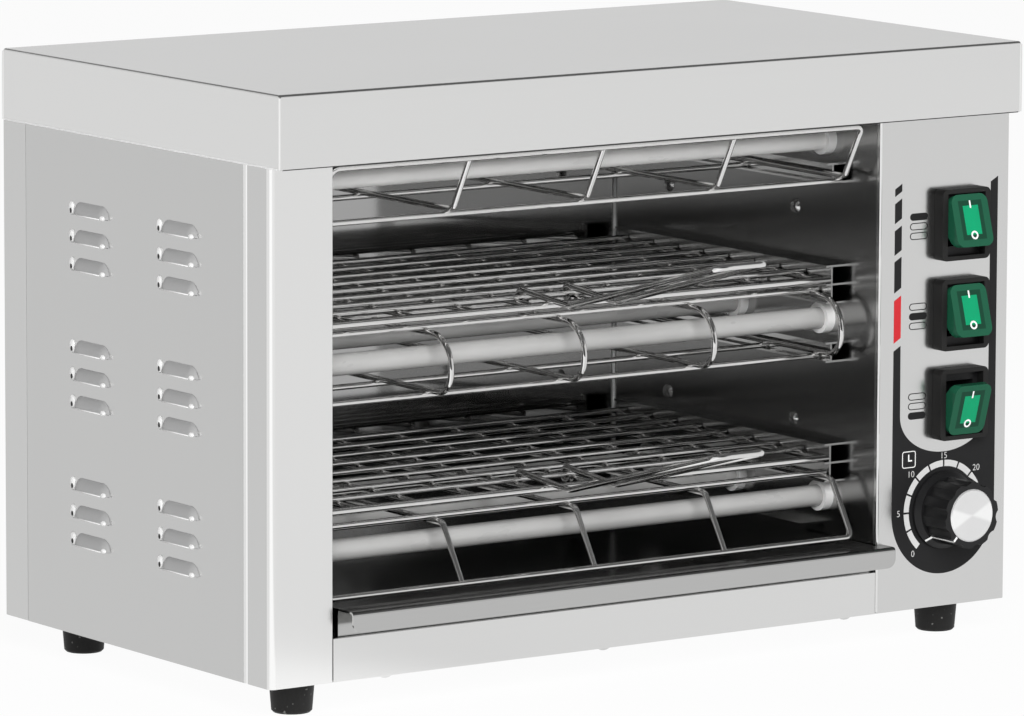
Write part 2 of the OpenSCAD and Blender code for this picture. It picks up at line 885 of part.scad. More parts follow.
// Terminal studs through the caps, with a nut outside
module terminal_studs() {
    color("goldenrod") both_walls()
        for (y = tube_y, z = tube_z)
            translate([cav_half + cap_neck - cap_plug, y, z]) rotate([0, 90, 0]) {
                cylinder(d = stud_d, h = cap_plug + stud_out);
                translate([0, 0, cap_plug + strip_t]) cylinder(d = 2 * stud_d, h = 3, $fn = 6);
            }
}

// Bus strips that join the three studs at each end of a level
module bus_strips() {
    x = cav_half + cap_neck;
    color("goldenrod") both_walls()
        for (z = tube_z)
            difference() {
                slab(
                    [x, tube_y[0] - strip_w / 2, z - strip_w / 2],
                    [x + strip_t, tube_y[2] + strip_w / 2, z + strip_w / 2]
                );
                for (y = tube_y)
                    translate([x - 1, y, z])
                        rotate([0, 90, 0]) cylinder(d = stud_d + 2 * fit_gap, h = strip_t + 2);
            }
}

// Wire grate: a thick front bar, cross wires behind it and long wires on top
module grate(level) {
    z = bar_z[level];
    color("silver") union() {
        rod([rack_mid - grate_half, bar_y, z], [rack_mid + grate_half, bar_y, z], bar_r);
        for (i = [0 : cross_wires - 1]) {
            x = rack_mid - grate_half + cross_inset + i * cross_step;
            rod([x, bar_y, z + cross_lift], [x, bar_y + grate_d + cross_end, z + cross_lift], grate_r);
        }
        for (i = [0 : long_wires - 1]) {
            y = first_long_y + i * long_step;
            rod(
                [rack_mid - grate_half, y, long_z[level]],
                [rack_mid + grate_half, y, long_z[level]], grate_r
            );
        }
    }
}

module upper_grate() {
    grate(1);
}

module lower_grate() {
    grate(0);
}

// Wire handle: two eyes on the first long wire, legs over the front bar and a closed grip
module handle(level) {
    left = rack_mid - handle_half;
    right = rack_mid + handle_half;
    function at(x, p) = [x, first_long_y + p[0], long_z[level] + p[1]];
    color("silver") union() {
        for (x = [left, right]) {
            translate(at(x, [0, 0])) rotate([90, 0, 90]) rotate(90 + leg_fall - eye_turn)
                rotate_extrude(angle = eye_turn) translate([eye_r, 0]) circle(r = handle_r + bend_swell);
            way = unit(leg_bend - leg_start);
            onward = unit(leg_end - leg_bend);
            cut = trim_at(leg_start, leg_bend, leg_end, leg_bend_r);
            rod(at(x, leg_start - way * tuck), at(x, leg_bend - way * (cut - tuck)), handle_r);
            elbow(at(x, leg_start), at(x, leg_bend), at(x, leg_end), leg_bend_r, handle_r);
            rod(at(x, leg_bend + onward * (cut - tuck)), at(x, leg_end - onward * (grip_r - tuck)), handle_r);
        }
        elbow(at(left, leg_bend), at(left, leg_end), at(right, leg_end), grip_r, handle_r);
        elbow(at(left, leg_end), at(right, leg_end), at(right, leg_bend), grip_r, handle_r);
        rod(at(left, leg_end) + [grip_r - tuck, 0, 0], at(right, leg_end) - [grip_r - tuck, 0, 0], handle_r);
    }
}

module upper_handle() {
    handle(1);
}

module lower_handle() {
    handle(0);
}

// Crumb tray: a shallow box with a shelf in front and a flange turned down from it
module crumb_tray() {
    low = floor_z + slide_gap;
    high = low + tray_h;
    color("silver") union() {
        difference() {
            slab([tray_left, tray_front, low], [tray_right, tray_back, high]);
            slab(
                [tray_left + sheet, tray_front + sheet, low + sheet],
                [tray_right - sheet, tray_back - sheet, high + 1]
            );
        }
        slab([tray_left, flange_y + tray_fold_r, high - sheet], [tray_right, tray_front + sheet, high]);
        slab([tray_left, flange_y + tray_fold_r, high - sheet], [flange_right, front_y - edge_gap, high]);
        translate([tray_left, flange_y + tray_fold_r, high - tray_fold_r]) rotate([90, 0, 90])
            linear_extrude(flange_right - tray_left) intersection() {
                difference() {
                    circle(r = tray_fold_r);
                    circle(r = tray_fold_r - sheet);
                }
                translate([-tray_fold_r, 0]) square(tray_fold_r);
            }
        translate([0, flange_y + sheet, 0]) rotate([90, 0, 0]) linear_extrude(sheet) intersection() {
            translate([tray_left, high - flange_h]) square([flange_right - tray_left, flange_h - tray_fold_r]);
            union() {
                translate([tray_left, high - flange_h + flange_r])
                    square([flange_right - tray_left, flange_h]);
                translate([tray_left + flange_r, high - flange_h])
                    square([flange_right - tray_left - 2 * flange_r, flange_h]);
                for (x = [tray_left + flange_r, flange_right - flange_r])
                    translate([x, high - flange_h + flange_r]) circle(r = flange_r);
            }
        }
    }
}

// Plate of a given depth in front of the panel at a switch, with round corners
module round_plate(w, h, r, near, far) {
    translate([0, -near, 0]) rotate([90, 0, 0]) linear_extrude(far - near) union() {
        translate([-w / 2 + r, -h / 2]) square([w - 2 * r, h]);
        translate([-w / 2, -h / 2 + r]) square([w, h - 2 * r]);
        for (x = [-w / 2 + r, w / 2 - r], z = [-h / 2 + r, h / 2 - r])
            translate([x, z]) circle(r = r);
    }
}

// Switch body behind the panel, with its bezel in front and a well for the rocker's stem
module switch_body(i) {
    color("black") translate([switch_x, front_y, switch_z[i]]) difference() {
        union() {
            slab([-switch_w / 2, -bezel_t, -switch_h / 2], [switch_w / 2, switch_in, switch_h / 2]);
            slab(
                [-switch_w / 2 - bezel, -bezel_t, -switch_h / 2 - bezel],
                [switch_w / 2 + bezel, 0, switch_h / 2 + bezel]
            );
        }
        slab(
            [-stem_w / 2 - edge_gap, -bezel_t - 1, -switch_h / 2 + 3],
            [stem_w / 2 + edge_gap, switch_in - 8, switch_h / 2 - 3]
        );
    }
}

// Rubber boot over the bezel, open in front for the rocker
module switch_boot(i) {
    color("black") translate([switch_x, front_y, switch_z[i]]) difference() {
        round_plate(boot_w, boot_h, corner_r, 0, boot_out);
        slab(
            [-switch_w / 2 - bezel - fit_gap, -bezel_t - fit_gap, -switch_h / 2 - bezel - fit_gap],
            [switch_w / 2 + bezel + fit_gap, 1, switch_h / 2 + bezel + fit_gap]
        );
        slab(
            [-rocker_w / 2 - edge_gap, -boot_out - 1, -swing_half],
            [rocker_w / 2 + edge_gap, 1, swing_half]
        );
    }
}

// Rocker with one end pressed in, on a round pivot with a stem that reaches into the body's well
module rocker(i) {
    half = rocker_h / 2;
    color("green") translate([switch_x, pivot_y, switch_z[i]])
        rotate([pressed[i] * rocker_tilt, 0, 0]) union() {
        intersection() {
            translate([-rocker_w / 2, 0, 0]) rotate([90, 0, 90]) linear_extrude(rocker_w) polygon([
                [-rocker_top, -half], [-rocker_top, half], [-rocker_back, half - 0.9],
                [0, pivot_r], [0, -pivot_r], [-rocker_back, -half + 0.9]
            ]);
            round_plate(rocker_w, rocker_h, rocker_r, -1, rocker_top + 1);
        }
        translate([-stem_w / 2, 0, 0]) rotate([0, 90, 0]) cylinder(r = pivot_r, h = stem_w);
        slab([-stem_w / 2, 0, -stem_t / 2], [stem_w / 2, rocker_stem, stem_t / 2]);
    }
}

module switch_body_1() {
    switch_body(0);
}

module switch_body_2() {
    switch_body(1);
}

module switch_body_3() {
    switch_body(2);
}

module switch_boot_1() {
    switch_boot(0);
}

module switch_boot_2() {
    switch_boot(1);
}

module switch_boot_3() {
    switch_boot(2);
}

module rocker_1() {
    rocker(0);
}

module rocker_2() {
    rocker(1);
}

module rocker_3() {
    rocker(2);
}

// Turns a piece drawn along +Z so that it points out of the front, at the timer's shaft
module on_timer(y) {
    translate([timer_x, y, timer_h]) rotate([90, 0, 0]) children();
}

// Clockwork timer behind the panel, with its threaded bush through it
module timer_body() {
    color("dimgray") difference() {
        union() {
            slab(
                [timer_x - timer_size / 2, front_y + sheet, timer_h - timer_size / 2],
                [timer_x + timer_size / 2, front_y + sheet + timer_deep, timer_h + timer_size / 2]
            );
            on_timer(front_y + sheet) cylinder(d = bush_d, h = sheet + bush_out);
        }
        on_timer(front_y + sheet + timer_deep - 8)
            cylinder(d = shaft_d + 2 * fit_gap, h = timer_deep + bush_out + 8);
    }
}

module timer_nut() {
    color("silver") on_timer(front_y) difference() {
        cylinder(d = nut_d, h = nut_t, $fn = 6);
        translate([0, 0, -1]) cylinder(d = bush_d + 2 * fit_gap, h = nut_t + 2);
    }
}

module timer_shaft() {
    color("silver") on_timer(front_y + sheet + timer_deep - 8)
        cylinder(d = shaft_d, h = timer_deep - 8 + sheet + knob_gap + knob_h - 6);
}

// Knob: a skirt, a fluted body and a seat for the metal cap
module timer_knob() {
    color("black") on_timer(knob_back) difference() {
        union() {
            rotate_extrude() polygon([
                [0, 0], [knob_skirt_d / 2, 0], [knob_skirt_d / 2, 1.5],
                [knob_d / 2 + 0.5, skirt_h], [0, skirt_h]
            ]);
            translate([0, 0, skirt_h - 0.5]) linear_extrude(knob_h - skirt_h + 0.5) difference() {
                circle(d = knob_d);
                for (i = [0 : flutes - 1])
                    rotate((i + 0.5) * 360 / flutes + flute_turn)
                        translate([knob_d / 2 + flute_set, 0]) circle(d = flute_d);
            }
        }
        translate([0, 0, -1]) cylinder(d = nut_d + 4, h = nut_t + bush_out + 1.5);
        translate([0, 0, -1]) cylinder(d = shaft_d + 2 * fit_gap, h = knob_h - 5);
        translate([0, 0, knob_h - cap_t]) cylinder(d = knob_cap_d + 2 * fit_gap, h = cap_t + 1);
    }
}

module knob_cap() {
    color("gainsboro") on_timer(knob_front + cap_t) rotate_extrude() polygon([
        [0, 0], [knob_cap_d / 2, 0], [knob_cap_d / 2, cap_t],
        [knob_cap_d / 2 - 0.6, cap_t + 0.5], [0, cap_t + 0.5]
    ]);
}

// Terminal block on the bottom plate, where the supply comes in
module terminal_block() {
    size = [44, 18, 16];
    way = 12;
    place = [gland_x - size[0] / 2, back_y - 60, under_z + sheet];
    color("ivory") translate(place) difference() {
        cube(size);
        for (i = [-1 : 1])
            translate([size[0] / 2 + i * way, size[1] / 2, size[2] - 8]) cylinder(d = 5, h = 9);
    }
}

// Cord gland through the back panel, with its nut inside
module cord_gland() {
    hex_l = gland_out - gland_flange;
    color("black") translate([gland_x, back_y, gland_z]) rotate([-90, 0, 0]) difference() {
        union() {
            cylinder(d = gland_d, h = gland_flange);
            translate([0, 0, gland_flange - 0.5])
                cylinder(d1 = gland_d - 2, d2 = gland_d - 7, h = hex_l + 0.5);
            translate([0, 0, -gland_in]) cylinder(d = gland_thread_d, h = gland_in + 1);
        }
        translate([0, 0, -gland_in - 1]) cylinder(d = gland_bore, h = gland_in + gland_out + 2);
    }
}

module gland_nut() {
    color("black") translate([gland_x, back_y - sheet - gland_nut_t, gland_z])
        rotate([-90, 0, 0]) difference() {
        cylinder(d = gland_d, h = gland_nut_t, $fn = 6);
        translate([0, 0, -1]) cylinder(d = gland_thread_d + 2 * fit_gap, h = gland_nut_t + 2);
    }
}

// Tapered rubber foot with a recess for its screw
module foot(x, y) {
    color("black") translate([x, y, 0]) difference() {
        rotate_extrude() polygon([
            [0, 0], [foot_low_d / 2 - 1, 0], [foot_low_d / 2, 1], [foot_top_d / 2, foot_h], [0, foot_h]
        ]);
        translate([0, 0, -1]) cylinder(d = foot_recess_d, h = foot_recess + 1);
        translate([0, 0, -1]) cylinder(d = foot_bore + 2 * fit_gap, h = foot_h + 2);
    }
}

module foot_front_left() {
    foot(-foot_x, -foot_y);
}

module foot_front_right() {
    foot(foot_x, -foot_y);
}

module foot_back_left() {
    foot(-foot_x, foot_y);
}

module foot_back_right() {
    foot(foot_x, foot_y);
}

module foot_screws() {
    color("silver")
        for (x = [-foot_x, foot_x], y = [-foot_y, foot_y])
            translate([x, y, foot_recess]) {
                translate([0, 0, -3]) cylinder(d = foot_recess_d - 2, h = 3);
                cylinder(d = foot_bore, h = foot_h - foot_recess + sheet + 4);
                translate([0, 0, foot_h - foot_recess + sheet]) cylinder(d = 9, h = 3.5, $fn = 6);
            }
}

// Dome screws in the cavity walls
module wall_screws() {
    color("silver") both_walls()
        for (y = wall_screw_y, z = wall_screw_z)
            translate([cav_half, y, z]) rotate([0, -90, 0]) dome_screw(shank_l);
}

// Screws through the back of the cover into the back panel
module cover_screws() {
    color("silver")
        for (x = cover_screw_x)
            translate([x, back_y, skirt_z + cover_h / 2]) rotate([-90, 0, 0]) dome_screw(shank_l);
}

// Screws from below into the base rail's flange
module rail_screws() {
    color("silver")
        for (x = rail_screw_x)
            translate([x, front_y + rail_flange / 2, under_z]) rotate([180, 0, 0]) dome_screw(shank_l);
}

module placed() {
    translate([0, shift_y, 0]) children();
}

placed() top_cover();
placed() left_side_panel();
placed() right_side_panel();
placed() front_post();
placed() control_panel();
placed() back_panel();
placed() bottom_plate();
placed() cavity_floor();
placed() cavity_left_wall();
placed() cavity_right_wall();
placed() cavity_back_wall();
placed() cavity_roof();
placed() top_guard_rails();
placed() upper_grate_rails();
placed() middle_guard_rails();
placed() lower_grate_rails();
placed() tray_rails();
placed() top_guard();
placed() middle_guard();
placed() bottom_guard();
placed() top_tubes();
placed() middle_tubes();
placed() bottom_tubes();
placed() top_caps();
placed() middle_caps();
placed() bottom_caps();
placed() heating_coils();
placed() terminal_studs();
placed() bus_strips();
placed() upper_grate();
placed() lower_grate();
placed() upper_handle();
placed() lower_handle();
placed() crumb_tray();
placed() switch_body_1();
placed() switch_body_2();
placed() switch_body_3();
placed() switch_boot_1();
placed() switch_boot_2();
placed() switch_boot_3();
placed() rocker_1();
placed() rocker_2();
placed() rocker_3();
placed() timer_body();
placed() timer_nut();
placed() timer_shaft();
placed() timer_knob();
placed() knob_cap();
placed() terminal_block();
placed() cord_gland();
placed() gland_nut();
placed() foot_front_left();
placed() foot_front_right();
placed() foot_back_left();
placed() foot_back_right();
placed() foot_screws();
placed() wall_screws();
placed() cover_screws();
placed() rail_screws();
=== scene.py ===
import math
from itertools import product

import bmesh
import bpy
from mathutils import Matrix, Vector


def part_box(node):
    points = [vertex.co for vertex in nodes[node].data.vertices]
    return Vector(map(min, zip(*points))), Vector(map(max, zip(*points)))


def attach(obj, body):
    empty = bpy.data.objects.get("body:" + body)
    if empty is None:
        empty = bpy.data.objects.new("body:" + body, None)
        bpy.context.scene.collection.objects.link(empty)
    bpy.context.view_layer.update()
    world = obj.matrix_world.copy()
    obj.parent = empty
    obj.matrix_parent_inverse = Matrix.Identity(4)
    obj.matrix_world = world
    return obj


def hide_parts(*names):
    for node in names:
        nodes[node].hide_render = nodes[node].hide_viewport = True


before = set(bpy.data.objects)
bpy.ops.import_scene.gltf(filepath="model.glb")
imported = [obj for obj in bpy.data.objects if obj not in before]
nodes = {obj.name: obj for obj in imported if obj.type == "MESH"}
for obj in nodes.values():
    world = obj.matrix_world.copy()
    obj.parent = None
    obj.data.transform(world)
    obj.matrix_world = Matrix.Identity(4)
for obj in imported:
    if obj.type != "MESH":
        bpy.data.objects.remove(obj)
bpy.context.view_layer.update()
scene = bpy.context.scene
mm = 0.001


# a socket with its node tree, so that shader sums read as sums
class Wire:
    def __init__(self, tree, socket=None):
        self.tree = tree
        self.socket = socket

    def node(self, kind, settings=None, values=None, out=0):
        made = self.tree.nodes.new("ShaderNode" + kind)
        for key, value in (settings or {}).items():
            setattr(made, key, value)
        for key, value in (values or {}).items():
            if isinstance(value, Wire):
                self.tree.links.new(value.socket, made.inputs[key])
            else:
                made.inputs[key].default_value = value
        return Wire(self.tree, made.outputs[out] if made.outputs else None)

    def sum(self, how, a, b):
        return self.node("Math", {"operation": how}, {0: a, 1: b})

    def __add__(self, other):
        return self.sum("ADD", self, other)

    def __sub__(self, other):
        return self.sum("SUBTRACT", self, other)

    def __rsub__(self, other):
        return self.sum("SUBTRACT", other, self)

    def __mul__(self, other):
        return self.sum("MULTIPLY", self, other)

    def __truediv__(self, other):
        return self.sum("DIVIDE", self, other)

    def __rtruediv__(self, other):
        return self.sum("DIVIDE", other, self)

    def __pow__(self, other):
        return self.sum("POWER", self, other)

    def __rpow__(self, other):
        return self.sum("POWER", other, self)

    def __gt__(self, other):
        return self.sum("GREATER_THAN", self, other)

    def __lt__(self, other):
        return self.sum("LESS_THAN", self, other)

    def __abs__(self):
        return self.node("Math", {"operation": "ABSOLUTE"}, {0: self})

    __radd__ = __add__
    __rmul__ = __mul__

    # place on the object, in metres
    def spot(self):
        return self.node("TexCoord", out="Object")

    def axis(self, letter):
        return self.node("SeparateXYZ", values={0: self}, out=letter)

    def toward(self, way):
        return self.node("VectorMath", {"operation": "DOT_PRODUCT"}, {0: self, 1: way}, out="Value")

    # so many grains to the metre: one number, or one for each axis
    def noise(self, grains, detail=2, rough=0.5):
        scale = grains if isinstance(grains, (list, tuple)) else (grains,) * 3
        where = self.node("Mapping", values={"Vector": self.spot(), "Scale": scale})
        values = {"Vector": where, "Scale": 1, "Detail": detail, "Roughness": rough}
        return self.node("TexNoise", values=values, out="Fac")

    def evenly(self, other):
        return self * 0.5 + other * 0.5

    def between(self, low, high):
        return self * (high - low) + low

    def tint(self, a, b):
        low, high = (c if isinstance(c, Wire) else (*c, 1) for c in (a, b))
        return self.node("Mix", {"data_type": "RGBA"}, {0: self, 6: low, 7: high}, out=2)

    def smooth(self, low, high):
        values = {"Value": self, "From Min": low, "From Max": high}
        return self.node("MapRange", {"interpolation_type": "SMOOTHSTEP"}, values)

    def bump(self, depth, strength=1):
        return self.node("Bump", values={"Height": self, "Distance": depth, "Strength": strength})


def emptied(owner):
    owner.use_nodes = True
    owner.node_tree.nodes.clear()
    return Wire(owner.node_tree)


# one principled finish: numbers go on the shader's sockets, wires are linked to them
def finish(name, make):
    material = bpy.data.materials.new(name)
    start = emptied(material)
    shader = start.node("BsdfPrincipled", values=make(start), out="BSDF")
    start.node("OutputMaterial", values={"Surface": shader})
    return material


# darkest and palest colour of a tone that swings by a share of itself
def shades(tone, swing, tinge):
    return [[tone * (1 + share) * c for c in tinge] for share in (-swing, swing)]


def wear(names, material):
    for name in names:
        slots = nodes[name].data.materials
        slots.clear()
        slots.append(material)


# object from a finished mesh, with its materials in order
def addPiece(name, mesh, *materials):
    data = bpy.data.meshes.new(name)
    mesh.to_mesh(data)
    mesh.free()
    piece = bpy.data.objects.new(name, data)
    scene.collection.objects.link(piece)
    for material in materials:
        data.materials.append(material)
    return piece


# points round an arc from one angle to another, in degrees, squeezed upright by flat
def arc(x, y, r, start, end, count, flat=1.0):
    angles = [math.radians(start + (end - start) * i / count) for i in range(count + 1)]
    return [(x + r * math.cos(a), y + r * flat * math.sin(a)) for a in angles]


# studio: pale floor, a white surround that is darker behind the camera and overhead,
# and the photograph's camera
studio = {
    "cameraAt": (-2.1667, -3.0473, 0.7052),
    "lookAt": (-0.00147, 0.0455, 0.1450),
    "roll": math.radians(0.219),
    "lens": 264.9,
    "sensor": 36,
    "farthest": 50,
    "floorHalf": 6,
    "floorColour": (0.93, 0.93, 0.93),
    "floorWhite": 0.95,
    "floorGloss": (0.76, 1.0),
    "white": (1, 1, 1, 1),
    "brightSide": (-0.81, -0.567, 0.0),
    "brightSpan": (0.86, 0.97),
    "surround": 0.69,
    "overSpan": (0.38, 0.52),
    "overDepth": 0.85,
    "darkSide": (-0.573, -0.819, 0.0),
    "darkSpan": (0.66, 0.96),
    "darkDepth": 0.93,
    "lampAt": (-1.1, -2.4, 1.5),
    "lampSize": 1.8,
    "lampPower": 102,
}


def makeCamera():
    data = bpy.data.cameras.new("camera")
    data.lens = studio["lens"]
    data.sensor_width = studio["sensor"]
    data.clip_end = studio["farthest"]
    camera = bpy.data.objects.new("camera", data)
    scene.collection.objects.link(camera)
    at = Vector(studio["cameraAt"])
    ahead = (Vector(studio["lookAt"]) - at).normalized()
    right = ahead.cross(Vector((0, 0, 1))).normalized()
    up = right.cross(ahead)
    c, s = math.cos(studio["roll"]), math.sin(studio["roll"])
    across, upward = right * c + up * s, up * c - right * s
    turn = Matrix((across, upward, -ahead)).transposed().to_4x4()
    camera.matrix_world = Matrix.Translation(at) @ turn
    scene.camera = camera


# white where the camera or a mirror sees it, and otherwise a plain floor that keeps the shadow
def makeFloor():
    half = studio["floorHalf"]
    corners = [(-half, -half, 0), (half, -half, 0), (half, half, 0), (-half, half, 0)]
    mesh = bpy.data.meshes.new("floor")
    mesh.from_pydata(corners, [], [(0, 1, 2, 3)])
    floor = bpy.data.objects.new("floor", mesh)
    scene.collection.objects.link(floor)
    material = bpy.data.materials.new("floorWhite")
    start = emptied(material)
    lit = start.node("BsdfDiffuse", values={"Color": (*studio["floorColour"], 1)})
    rays = ("Camera", "Glossy", "Transmission")
    camera, gloss, through = (start.node("LightPath", out="Is %s Ray" % kind) for kind in rays)
    place = start.node("NewGeometry", out="Position")
    way = start.node("VectorMath", {"operation": "NORMALIZE"}, {0: place}, out="Vector")
    bright = way.toward(studio["brightSide"]).smooth(*studio["brightSpan"])
    strength = camera + (1 - camera) * bright.between(*studio["floorGloss"])
    white = start.node("Emission", values={"Color": studio["white"], "Strength": strength})
    seen = start.sum("MINIMUM", camera + gloss + through, 1.0) * studio["floorWhite"]
    both = start.node("MixShader", values={0: seen, 1: lit, 2: white})
    start.node("OutputMaterial", values={"Surface": both})
    mesh.materials.append(material)


def makeWorld():
    world = bpy.data.worlds.new("studioWhite")
    start = emptied(world)
    way = start.node("TexCoord", out="Generated")
    dark = way.toward(studio["darkSide"]).smooth(*studio["darkSpan"]) * studio["darkDepth"]
    over = way.axis("Z").smooth(*studio["overSpan"]) * studio["overDepth"]
    level = (1 - dark) * (1 - over) * studio["surround"]
    seen = start.node("LightPath", out="Is Camera Ray")
    strength = seen + (1 - seen) * level
    light = start.node("Background", values={"Color": studio["white"], "Strength": strength})
    start.node("OutputWorld", values={"Surface": light})
    scene.world = world


# broad soft lamp from the front, which fills the open cavity
def makeLamp():
    data = bpy.data.lights.new("softLamp", "AREA")
    data.size = studio["lampSize"]
    data.energy = studio["lampPower"]
    lamp = bpy.data.objects.new("softLamp", data)
    scene.collection.objects.link(lamp)
    at = Vector(studio["lampAt"])
    aim = (Vector(studio["lookAt"]) - at).to_track_quat("-Z", "Y").to_matrix().to_4x4()
    lamp.matrix_world = Matrix.Translation(at) @ aim
    lamp.visible_glossy = False


makeCamera()
makeFloor()
makeWorld()
makeLamp()
scene.view_settings.view_transform = "Standard"
print("studio: camera, floor and light are up")


# brushed sheet: streaks along one axis, in the colour, the roughness and a very shallow bump
sheetFinish = {
    "fine": 2200, "fineAlong": 18,  # grains to the metre, across the streaks and along them
    "broad": 240, "broadAlong": 4.5,
    "cloud": 9,
    "shares": (0.4, 0.3, 0.3),  # of streaks, bands and clouds in the colour
    "contrast": 0.022,
    "tinge": (1, 1, 0.993),
    "roughSpan": (-0.02, 0.03),
    "bump": (0.000002, 0.3),
}


# along is 0, 1 or 2 for streaks along x, y or z
def brushed(name, along, tone, rough, adapt=None):
    def make(w):
        fine, broad = [sheetFinish["fine"]] * 3, [sheetFinish["broad"]] * 3
        fine[along], broad[along] = sheetFinish["fineAlong"], sheetFinish["broadAlong"]
        streak, band, cloud = w.noise(fine, 3, 0.6), w.noise(broad), w.noise(sheetFinish["cloud"])
        ofStreak, ofBand, ofCloud = sheetFinish["shares"]
        mottle = streak * ofStreak + band * ofBand + cloud * ofCloud
        values = {
            "Base Color": mottle.tint(*shades(tone, sheetFinish["contrast"], sheetFinish["tinge"])),
            "Metallic": 1.0,
            "Roughness": streak.evenly(cloud).between(*(rough + s for s in sheetFinish["roughSpan"])),
            "Normal": streak.bump(*sheetFinish["bump"]),
        }
        return adapt(w, values) if adapt else values

    return finish(name, make)


# the louvres' hoods are matt and less metallic, and their darker tone is painted shade: they begin at this
# distance from the middle
hoods = {"span": (0.22452, 0.22464), "tone": 0.47, "matt": 0.34, "metal": 0.3}


def mattHoods(w, values):
    hood = abs(w.spot().axis("X")).smooth(*hoods["span"])
    # painted shade: the hoods' colour is darkened to the hood tone
    values["Base Color"] = hood.tint(values["Base Color"], (hoods["tone"],) * 3)
    values["Roughness"] = values["Roughness"] + hood * hoods["matt"]
    values["Metallic"] = hood.between(1, hoods["metal"])
    return values


lean = -0.045  # the back wall leans a little: rise of its face to the metre


def leaning(w, values):
    values["Normal"] = (w.spot().axis("Z") * lean).bump(1.0)
    return values


# nodes of each sheet, the axis of its streaks, its tone and its roughness
railNodes = ["top_guard_rails", "upper_grate_rails", "middle_guard_rails", "lower_grate_rails", "tray_rails"]
screwNodes = ["foot_screws", "wall_screws", "cover_screws", "rail_screws", "timer_nut", "timer_shaft"]
sheets = {
    "coverSteel": (["top_cover"], 0, 0.92, 0.22),
    "panelSteel": (["control_panel"], 2, 0.81, 0.2),
    "sideSteel": (["left_side_panel", "right_side_panel"], 2, 0.71, 0.2, mattHoods),
    "backSteel": (["back_panel", "bottom_plate"], 0, 0.76, 0.24),
    "floorSteel": (["cavity_floor"], 0, 0.88, 0.2),
    "wallSteel": (["cavity_left_wall", "cavity_right_wall"], 1, 0.43, 0.19),
    "rearSteel": (["cavity_back_wall", "cavity_roof"], 0, 0.46, 0.05, leaning),
    "railSteel": (railNodes, 1, 0.72, 0.14),
    "screwSteel": (screwNodes, 2, 0.8, 0.18),
}
for name, (worn, *look) in sheets.items():
    wear(worn, brushed(name, *look))
postSteel = brushed("postSteel", 2, 0.96, 0.2)
# darker copy of the post's steel for its return, which looks left: painted shade
returnShadeSteel = brushed("returnShadeSteel", 2, 0.75, 0.2)
# brighter, glossier copy for folds and rolled corners: painted highlight, with a truly lower roughness
foldHighlightSteel = brushed("foldHighlightSteel", 2, 0.97, 0.09)

# folded and moulded edges catch a thin light; radii in millimetres
edges = {
    "weld": 0.01, "segments": 3, "sharp": math.radians(40),
    "radius": {
        "top_cover": 1.3, "control_panel": 0.5, "back_panel": 0.5, "cavity_floor": 0.5,
        "rocker_1": 1.6, "rocker_2": 1.6, "rocker_3": 1.6,
        "switch_boot_1": 0.8, "switch_boot_2": 0.8, "switch_boot_3": 0.8,
    },
}


def softenEdges(name, radius):
    weld = nodes[name].modifiers.new("weld", "WELD")
    weld.merge_threshold = edges["weld"] * mm
    bevel = nodes[name].modifiers.new("edge", "BEVEL")
    bevel.width = radius * mm
    bevel.segments = edges["segments"]
    bevel.limit_method = "ANGLE"
    bevel.angle_limit = edges["sharp"]


for name, radius in edges["radius"].items():
    softenEdges(name, radius)
print("sheet: brushed, with soft edges")


# fine-grained finish: the grain shifts colour and roughness, and dents the surface where that shows
def grained(name, look, adapt=None):
    def make(w):
        grain = w.noise(look["grain"], look["detail"])
        mottle = grain.evenly(w.noise(look["dust"], look["detail"])) if "dust" in look else grain
        values = {
            "Base Color": mottle.tint(*look["colours"]),
            "Metallic": look.get("metal", 0.0),
            "Roughness": grain.between(*look["rough"]),
            "Specular IOR Level": look.get("gloss", 0.5),
        }
        if "bump" in look:
            values["Normal"] = grain.bump(*look["bump"])
        return adapt(w, values) if adapt else values

    return finish(name, make)


# near-black steel as painted shadow: the louvres' slits and the line under the cover's front edge
shadowSteel = grained("shadowSteel", {
    "grain": 300, "detail": 2, "colours": ((0.02, 0.02, 0.02), (0.05, 0.05, 0.05)),
    "rough": (0.5, 0.65), "gloss": 0.2,
})
# near-white steel as painted highlight: the louvres' glints, the cover's side hems and the cavity's seams
highlightSteel = grained("highlightSteel", {
    "grain": 700, "detail": 2, "colours": ((0.94, 0.94, 0.935), (0.98, 0.98, 0.975)),
    "rough": (0.3, 0.4), "metal": 0.2,
})

# left post with a rounded fold at its front corner, and the side panel's folded edge beside its return; the
# folds wear a brighter copy of the post's steel as painted highlight, and the return a darker copy as
# painted shade
post = {
    "sheet": 1.0, "fold": 3.0, "end": 0.9, "edge": 0.3, "gap": 2.4,
    "seam": 0.4, "panelFold": 3.0, "panelTurn": 62, "steps": 12,
    "flatFrom": 0.45,  # narrower strips of the outline belong to a fold
    "squarely": 0.999,  # a face that looks left as squarely as this is the return
}


# upright sheet from a closed outline, smooth round its folds; the ends have points of their own
def upright(mesh, outline, bottom, top):
    def ring(z):
        return [mesh.verts.new((x * mm, y * mm, z * mm)) for x, y in outline]

    low, high = ring(bottom), ring(top)
    for i in range(len(outline)):
        j = (i + 1) % len(outline)
        side = mesh.faces.new((low[i], low[j], high[j], high[i]))
        side.smooth = math.dist(outline[i], outline[j]) < post["flatFrom"]
    for z in (bottom, top):
        mesh.faces.new(ring(z))


